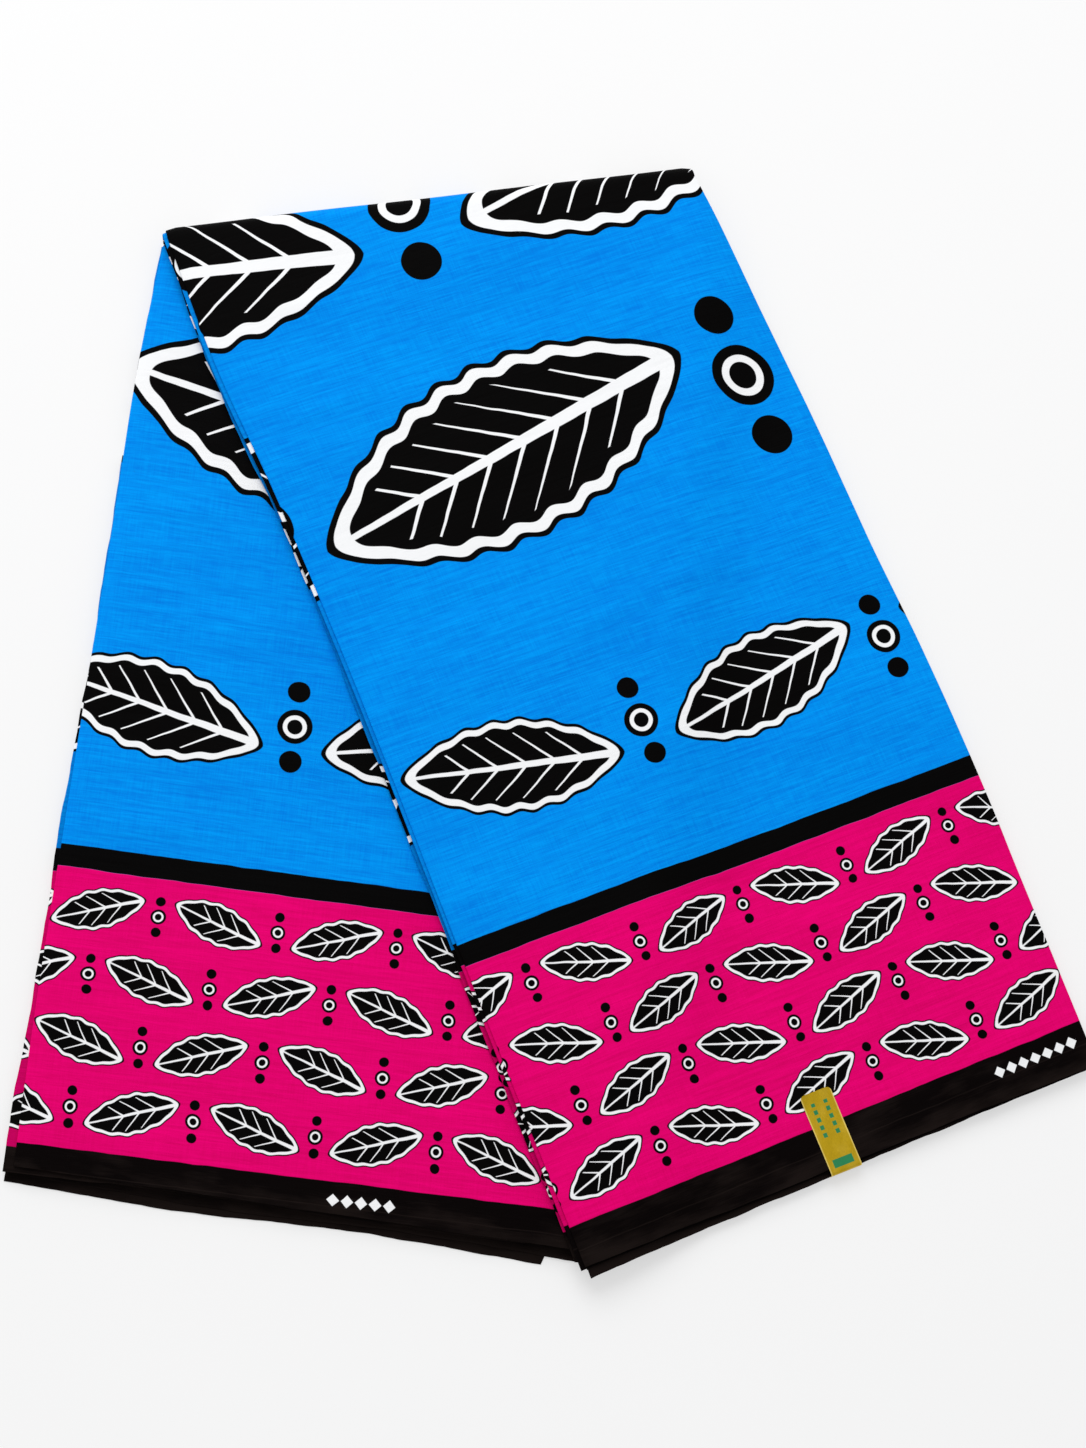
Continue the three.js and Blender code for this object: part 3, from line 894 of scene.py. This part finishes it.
def leaf_print(wire, s, t):
    """Two masks: where black ink lies, and where the cloth is left white."""
    above_border, large = t > BAND_MIDDLE, t > LARGE_FROM

    def pick(values):
        border, middle, top = values
        return above_border * (middle - border) + large * (top - middle) + border

    size = pick(LEAF_HALF_LENGTH)
    pitch = pick(LEAF_PITCH)
    row_place = (t - pick(ROW_FROM)) / pick(ROW_PITCH)
    row = row_place.floor()
    y = (row_place - row - 0.5) * pick(ROW_PITCH) / size
    place = s / pitch + row * 0.5
    cell = place.floor()
    x = (place - cell - 0.5) * pitch / size
    tilt = ((cell + row).math("FLOORED_MODULO", 2.0) * 2.0 - 1.0) * pick(LEAF_TILT)
    leaf_x = x + y * tilt
    leaf_y = abs(y - x * tilt)

    radius = (1 + LEAF_HALF_WIDTH**2) / (2 * LEAF_HALF_WIDTH)
    vein_pitch = pick(VEIN_PITCH)
    veins = (leaf_x + leaf_y * VEIN_SLANT) / vein_pitch
    # The edge swings in once for each side vein, as a smooth wave that dies away at the tips.
    swing = (leaf_x * (2 * math.pi) / vein_pitch).math("COSINE") + 1
    notch = swing * (1 - leaf_x * leaf_x).larger(0.0) * (SCALLOP / 2)
    leaf = leaf_x.reach(leaf_y + (radius - LEAF_HALF_WIDTH)) - radius + notch
    leaf = leaf.math("SMOOTH_MAX", (abs(leaf_x) - TIP_AT) * TIP_BLUNT, TIP_BLEND)

    from_vein = abs(veins.fraction() - 0.5) * vein_pitch
    side_vein = from_vein - (pick(VEIN_WIDTH) - leaf_y * VEIN_TAPER)
    # No vein grows from the midrib close to either tip, where it would be a short thorn.
    first, last = VEIN_ROOTS
    root = (veins.floor() + 0.5) * vein_pitch
    no_vein = abs(root - (first + last) / 2) - (last - first) / 2
    side_vein = side_vein.larger(leaf + VEIN_END).larger(no_vein)
    # The midrib tapers, and runs into the white edge at both tips.
    midrib = leaf_y - (MIDRIB_WIDTH + leaf_x * MIDRIB_TAPER)
    midrib = midrib.larger(leaf - MIDRIB_OVERLAP)
    white_edge = abs(leaf - WHITE_EDGE / 2) - WHITE_EDGE / 2

    gap_x = ((place + 0.5).fraction() - 0.5) * pitch / size
    ring = gap_x.reach(y)
    white_ring = abs(ring - WHITE_RING_RADIUS) - WHITE_RING_HALF_WIDTH
    seeds = gap_x.reach(abs(y) - SEED_APART) - SEED_RADIUS

    white = side_vein.smaller(midrib).smaller(white_edge).smaller(white_ring) * size
    black = (leaf - (WHITE_EDGE + DARK_EDGE)).smaller(ring - RING_RADIUS).smaller(seeds) * size
    return black.inside(EDGE_SOFTNESS), white.inside(EDGE_SOFTNESS)


def diamond_rows(wire, s, t):
    """A mask of short rows of diamonds, which mark the selvedge."""
    from_middle = abs((s / DIAMOND_PITCH).fraction() - 0.5) * DIAMOND_PITCH
    diamond = from_middle + abs(t - DIAMONDS_AT) - DIAMOND_RADIUS
    ends = [abs(s - (start + end) / 2) - (end - start) / 2 for start, end in DIAMOND_ROWS]
    return diamond.larger(ends[0].smaller(ends[1])).inside(EDGE_SOFTNESS)


# %% [markdown]
# ## The printed cloth
#
# The ground colours are bands along the cloth's length. Slubs, the thick places in a cotton
# yarn, take up ink unevenly, so the ground is a mix of a deep and a thin shade of each ink in
# long fine streaks, and they raise the surface too. A woven line and worn patches mark the
# black hem. The plain weave is finer than half a millimetre and goes only into the bump.

# %% The cloth material
THREAD = 0.00042  # two threads of the weave, in metres
BUMP_HEIGHT = 0.00022
SHAKE = 0.0011  # how far the print's edges wander
SHAKE_SCALE = 70.0
SELVEDGE_AT = 0.0086
SELVEDGE_HALF_WIDTH = 0.00025
SELVEDGE_SOFTNESS = 0.0002
WORN_BELOW = 0.013
WORN_SLOPE = 42
COTTON_ROUGHNESS = 0.68
COTTON_GLOSS = 0.02  # cotton has almost no mirror shine
# Noises along the threads: how fine along s, how fine along t, and the detail.
SLUB = (23.0, 560.0, 4.0)
WEFT = (90.0, 1600.0, 2.0)
WARP = (1500.0, 55.0, 1.0)
CLOUD = (9.0, 22.0, 2.0)
MOTTLE = (26.0, 75.0, 3.0)
PUCKER = (13.0, 48.0, 3.0)


def wax_print(name, painted_shade=1.0, painted_hem_light=0.0, diamonds=True):
    """Printed cotton. A painted shade for folded cloth multiplies its ground, and painted light
    changes its hem: lighter above zero, darker below.
    """
    material, shader, wire = new_material(name)
    ruler = wire.node("ShaderNodeUVMap", {"uv_map": "cloth"})
    wobble = {"Vector": ruler, "Scale": SHAKE_SCALE, "Detail": 1.0}
    wobble = wire.node("ShaderNodeTexNoise", {}, wobble, output=1)
    shaken = {0: wobble, 1: (SHAKE, SHAKE, 0), 2: ruler}
    shaken = {0: wire.node("ShaderNodeVectorMath", {"operation": "MULTIPLY_ADD"}, shaken)}
    s = wire.node("ShaderNodeSeparateXYZ", {}, shaken, output=0) - SHAKE / 2
    t = wire.node("ShaderNodeSeparateXYZ", {}, shaken, output=1) - SHAKE / 2

    slub = threads(wire, ruler, *SLUB)
    weft = threads(wire, ruler, *WEFT)
    warp = threads(wire, ruler, *WARP)
    cloud = threads(wire, ruler, *CLOUD)
    ink = (slub - 0.5) * 1.7 + (weft - 0.5) * 1.8 + (warp - 0.5) * 1.0 + (cloud - 0.5) * 0.7
    ink = (ink + 0.5).larger(0.0).smaller(1.0)

    black, white = leaf_print(wire, s, t)
    in_hem = (t - HEM_BAND).inside(EDGE_SOFTNESS)
    in_border = (t - BORDER_TOP).inside(EDGE_SOFTNESS)
    in_band = (t - BAND_TOP).inside(EDGE_SOFTNESS)
    free = (1 - in_hem) * (1 - (in_band - in_border))
    ground = in_border.mix(ink.mix(DEEP_BLUE, THIN_BLUE), ink.mix(DEEP_PINK, THIN_PINK))
    # Random tone from the slubs and clouds, added to the painted shade of folded cloth.
    tone_and_painted_shade = {0: ground, "Scale": (cloud - 0.5) * 0.10 + (slub - 0.5) * 0.12 + painted_shade}
    ground = wire.node("ShaderNodeVectorMath", {"operation": "SCALE"}, tone_and_painted_shade)
    colour = (in_band - in_border).larger(black * free).mix(ground, INK_BLACK)
    colour = (white * free).mix(colour, WHITE)

    # The selvedge is a pale woven line. Ink wears off in patches, most of it near the cut edge.
    selvedge = (abs(t - SELVEDGE_AT) - SELVEDGE_HALF_WIDTH).inside(SELVEDGE_SOFTNESS)
    mottle = threads(wire, ruler, *MOTTLE)
    # Mottle and the cut edge give real wear. The last number is painted light in the hem above
    # zero, and painted shade below zero.
    wear_and_painted_light = (mottle - 0.47) * 3.4 + (weft - 0.5) * 0.9 + (WORN_BELOW - t) * WORN_SLOPE + painted_hem_light
    wear_and_painted_light = (wear_and_painted_light.larger(0.0) + selvedge * slub * 1.4).smaller(1.0 + selvedge * 0.6)
    hem = wear_and_painted_light.mix(HEM_BLACK, WORN_HEM_BLACK)
    if diamonds:
        hem = diamond_rows(wire, s, t).mix(hem, WHITE)
    feed(in_hem.mix(colour, hem), shader, "Base Color")

    dark = in_hem.larger(in_band - in_border).larger((black - white) * free)
    feed((slub - 0.5) * 0.2 - dark * 0.12 + COTTON_ROUGHNESS, shader, "Roughness")

    along_s = wire.node("ShaderNodeSeparateXYZ", {}, {0: ruler}, output=0)
    along_t = wire.node("ShaderNodeSeparateXYZ", {}, {0: ruler}, output=1)
    wave = [(ruled * (2 * math.pi / THREAD)).math("SINE") for ruled in (along_s, along_t)]
    height = wave[0] * wave[1] * 0.12 + slub * 0.8 + weft * 0.35 + warp * 0.2 + cloud * 0.5
    # Fine puckers run where this noise crosses its middle value.
    pucker = (abs(threads(wire, ruler, *PUCKER) - 0.5) * 13).smaller(1.0)
    height = height + pucker * 0.5 - selvedge * in_hem * 0.3
    bump = {"Strength": 0.8, "Distance": BUMP_HEIGHT, "Height": height}
    feed(wire.node("ShaderNodeBump", {}, bump), shader, "Normal")

    shader.inputs["Specular IOR Level"].default_value = COTTON_GLOSS
    return material


# Painted shade: the second sheet and the folded layers have a darker ground, for the little light
# that gets into the folds. The second sheet's hem is painted darker as shade, so it shows as a
# line, and the folded layers' hem is painted lighter against their shadow.
printed_cloth = wax_print("printed_cloth")
second_cloth_painted_shade = wax_print("second_cloth_painted_shade", 0.85, painted_hem_light=-1.5, diamonds=False)
folded_cloth_painted_light_and_shade = wax_print("folded_cloth_painted_light_and_shade", 0.72, painted_hem_light=0.4, diamonds=False)
print("cloth nodes:", len(printed_cloth.node_tree.nodes))

# %% [markdown]
# ## The foil
#
# The label is thin gold foil with a brushed grain and a paler edge, which is rubbed foil and a
# painted highlight. Its lettering is left out. Plain green bars stand in its place.

# %% The foil material
GOLD = (0.550, 0.360, 0.006, 1)
RUBBED_AND_HIGHLIGHT_GOLD = (0.95, 0.74, 0.20, 1)
GREEN = (0.003, 0.200, 0.064, 1)
# Places and sizes on the strip are in metres, down from its upper end and out from its middle.
COLUMNS_AT = 0.0036
COLUMN_HALF_WIDTH = 0.0011
BAR_PITCH = 0.0042
BAR_HALF_LENGTH = 0.0012
BARS_MIDDLE, BARS_REACH = 0.0150, 0.0094
FOOT_AT, FOOT_HALF_LENGTH, FOOT_HALF_WIDTH = 0.0385, 0.0022, 0.0056
INK_SOFTNESS = 0.00012
RUB_AND_HIGHLIGHT_WIDTH, RUB_AND_HIGHLIGHT_SOFTNESS = 0.0005, 0.0003
GRAIN = (5000.0, 600.0, 2.0)
PATCHES = (120.0, 70.0, 2.0)
GRAIN_HEIGHT = 0.0001


def gold_foil(name):
    material, shader, wire = new_material(name)
    ruler = wire.node("ShaderNodeUVMap", {"uv_map": "cloth"})
    across = wire.node("ShaderNodeSeparateXYZ", {}, {0: ruler}, output=0)
    down = wire.node("ShaderNodeSeparateXYZ", {}, {0: ruler}, output=1)
    grain = threads(wire, ruler, *GRAIN)
    patches = threads(wire, ruler, *PATCHES)

    # Two columns of short bars run down the strip, with one wide bar at its foot.
    from_middle = abs(across - LABEL_WIDTH * MM / 2)
    column = abs(from_middle - COLUMNS_AT) - COLUMN_HALF_WIDTH
    bar = abs((down / BAR_PITCH).fraction() - 0.5) * BAR_PITCH - BAR_HALF_LENGTH
    bars = column.larger(bar).larger(abs(down - BARS_MIDDLE) - BARS_REACH)
    foot = (abs(down - FOOT_AT) - FOOT_HALF_LENGTH).larger(from_middle - FOOT_HALF_WIDTH)
    ink = bars.smaller(foot).inside(INK_SOFTNESS)

    # The long edges are paler: rubbed foil with a painted highlight.
    rubbed_edge_and_highlight = across.smaller(LABEL_WIDTH * MM - across) - RUB_AND_HIGHLIGHT_WIDTH
    rubbed_edge_and_highlight = rubbed_edge_and_highlight.inside(RUB_AND_HIGHLIGHT_SOFTNESS)
    colour = (rubbed_edge_and_highlight * 0.9 + (patches - 0.48) * 0.4).mix(GOLD, RUBBED_AND_HIGHLIGHT_GOLD)
    colour = ink.mix(colour, GREEN)
    tone = 1.0 + (grain - 0.5) * 0.40 + (patches - 0.5) * 0.3
    toned = {0: colour, "Scale": tone}
    feed(wire.node("ShaderNodeVectorMath", {"operation": "SCALE"}, toned), shader, "Base Color")
    feed(0.75 - ink * 0.7, shader, "Metallic")
    feed(0.36 + (grain - 0.5) * 0.3, shader, "Roughness")
    bump = {"Strength": 0.4, "Distance": GRAIN_HEIGHT, "Height": grain}
    feed(wire.node("ShaderNodeBump", {}, bump), shader, "Normal")
    return material


foil = gold_foil("gold_foil")

# %% [markdown]
# ## Dress the pieces
#
# Each piece gets its material, rides on the one body of the imported model, and takes the place
# of its solid there.

# %% Materials and bodies
def dress(piece, material, node):
    piece.data.materials.clear()
    piece.data.materials.append(material)
    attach(piece, "root")
    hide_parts(node)


dress(front_top, printed_cloth, "front_top_sheet")
dress(front_second, second_cloth_painted_shade, "front_second_sheet")
dress(back_top, printed_cloth, "back_top_sheet")
dress(front_packet, folded_cloth_painted_light_and_shade, "front_layers")
dress(back_packet, folded_cloth_painted_light_and_shade, "back_layers")
dress(label, foil, "hem_label")

# %% [markdown]
# ## Table, light and camera
#
# The cloth lies on a plain white table in soft, bright light, which comes from all round and
# a little more from the upper left. The camera looks down from above the hems.

# %% The table
FLOOR_SIZE = 8.0
TABLE_WHITE = (0.40, 0.40, 0.402, 1)
TABLE_ROUGHNESS = 0.8
TABLE_GLOSS = 0.05
TABLE_GLOW = 0.525  # keeps the table white round a bright cloth

bpy.ops.object.select_all(action="DESELECT")
bpy.ops.mesh.primitive_plane_add(size=FLOOR_SIZE)
floor = bpy.context.object
floor.name = "table_top"
table_white, table_shader, _ = new_material("table_white")
table_shader.inputs["Base Color"].default_value = TABLE_WHITE
table_shader.inputs["Roughness"].default_value = TABLE_ROUGHNESS
table_shader.inputs["Specular IOR Level"].default_value = TABLE_GLOSS
table_shader.inputs["Emission Color"].default_value = (1, 1, 1, 1)
table_shader.inputs["Emission Strength"].default_value = TABLE_GLOW
floor.data.materials.append(table_white)

# %% Soft light
ROOM_LIGHT = 0.59
WINDOW_PLACE = (-0.7, 1.9, 2.3)
WINDOW_SIZE = 2.6
WINDOW_POWER = 66

world = bpy.data.worlds.new("studio")
bpy.context.scene.world = world
world.use_nodes = True
world.node_tree.nodes["Background"].inputs["Color"].default_value = (1, 1, 1, 1)
world.node_tree.nodes["Background"].inputs["Strength"].default_value = ROOM_LIGHT
bpy.context.scene.view_settings.view_transform = "Standard"


def aim(thing, place, target):
    """Puts a light at a place, with its -Z axis towards the target."""
    from_target = np.array(place) - np.array(target)
    flat_distance = math.hypot(from_target[0], from_target[1])
    thing.location = place
    thing.rotation_euler = (
        math.atan2(flat_distance, from_target[2]),
        0,
        math.atan2(from_target[0], -from_target[1]),
    )


key_data = bpy.data.lights.new("window", "AREA")
key_data.shape = "DISK"
key_data.size = WINDOW_SIZE
key_data.energy = WINDOW_POWER
key = bpy.data.objects.new("window", key_data)
bpy.context.scene.collection.objects.link(key)
aim(key, WINDOW_PLACE, (0, 0, 0))

# %% The camera
LENS = 62.7
SENSOR_WIDTH = 36
CAMERA_HEIGHT = 1.298
CAMERA_PLACE = (*((-179.48, -412.95) + SHIFT) * MM, CAMERA_HEIGHT)
# Which way the right and the upper side of its picture point.
CAMERA_RIGHT = (0.99192, 0.0, 0.12686)
CAMERA_UP = (-0.03644, 0.95785, 0.28496)

camera_data = bpy.data.cameras.new("camera")
camera_data.lens = LENS
camera_data.sensor_width = SENSOR_WIDTH
camera = bpy.data.objects.new("camera", camera_data)
bpy.context.scene.collection.objects.link(camera)
backward = np.cross(CAMERA_RIGHT, CAMERA_UP)
turn_matrix = np.eye(4)
turn_matrix[:3, :4] = np.stack([CAMERA_RIGHT, CAMERA_UP, backward, CAMERA_PLACE], axis=1)
camera.matrix_world = Matrix(turn_matrix.tolist())
bpy.context.scene.camera = camera
